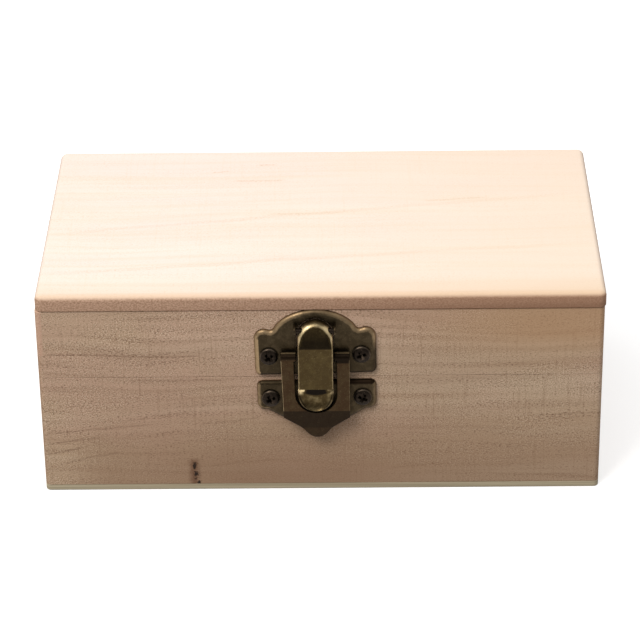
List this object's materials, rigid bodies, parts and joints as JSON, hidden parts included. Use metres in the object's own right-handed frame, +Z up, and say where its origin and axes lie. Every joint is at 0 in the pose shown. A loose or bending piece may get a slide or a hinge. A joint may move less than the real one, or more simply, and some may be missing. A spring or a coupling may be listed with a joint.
{
  "type": "wooden storage box",
  "caption": "Small bare-wood keepsake box with a hinged lid, closed at the front by a pressed duckbill latch with a slotted hasp leaf.",
  "frame": {"origin": "middle of the underside of the box, on the surface that it stands on", "axes": "+X to the right along the long side, +Y to the back where the hinges are, +Z up; the latch faces -Y"},
  "size_m": [0.1306, 0.0833, 0.052],
  "materials": {
    "top_wood": "bare sanded softwood, pale cream",
    "side_wood": "bare sanded softwood with short fine pores",
    "bottom_wood": "bare thin plywood, pale grey-green",
    "aged_bronze": "pressed steel with a dark aged-bronze plating, rubbed bright at the rims",
    "worn_bronze": "aged-bronze plating, rubbed olive and bright at the edges",
    "dark_steel": "darkened steel"
  },
  "bodies": {
    "body": {"front_wall": "side_wood", "back_wall": "side_wood", "left_wall": "side_wood", "right_wall": "side_wood", "bottom_panel": "bottom_wood", "latch_lower_plate": "aged_bronze", "latch_screw_lower_left": "dark_steel", "latch_screw_lower_right": "dark_steel", "left_hinge_body_leaf": "aged_bronze", "left_hinge_pin": "dark_steel", "left_hinge_screw_body_left": "dark_steel", "left_hinge_screw_body_right": "dark_steel", "right_hinge_body_leaf": "aged_bronze", "right_hinge_pin": "dark_steel", "right_hinge_screw_body_left": "dark_steel", "right_hinge_screw_body_right": "dark_steel"},
    "lid": {"lid_top_panel": "top_wood", "lid_front_rail": "side_wood", "lid_back_rail": "side_wood", "lid_left_rail": "side_wood", "lid_right_rail": "side_wood", "latch_upper_plate": "aged_bronze", "latch_screw_upper_left": "dark_steel", "latch_screw_upper_right": "dark_steel", "lever_pin": "dark_steel", "hasp_pin": "dark_steel", "left_hinge_lid_leaf": "aged_bronze", "left_hinge_screw_lid_left": "dark_steel", "left_hinge_screw_lid_right": "dark_steel", "right_hinge_lid_leaf": "aged_bronze", "right_hinge_screw_lid_left": "dark_steel", "right_hinge_screw_lid_right": "dark_steel"},
    "lever": {"latch_lever": "worn_bronze"},
    "hasp": {"latch_hasp_leaf": "aged_bronze"}
  },
  "joints": [
    {"name": "lid_hinge", "type": "hinge", "parent": "body", "child": "lid", "pos_m": [0, 0.03915, 0.0306], "axis": [-1, 0, 0], "range_deg": [0, 175]},
    {"name": "lever_pivot", "type": "hinge", "parent": "lid", "child": "lever", "pos_m": [-0.0011, -0.0405, 0.04425], "axis": [-1, 0, 0], "range_deg": [0, 105]},
    {"name": "hasp_hinge", "type": "hinge", "parent": "lid", "child": "hasp", "pos_m": [-0.0011, -0.04, 0.03715], "axis": [-1, 0, 0], "range_deg": [0, 120]}
  ]
}
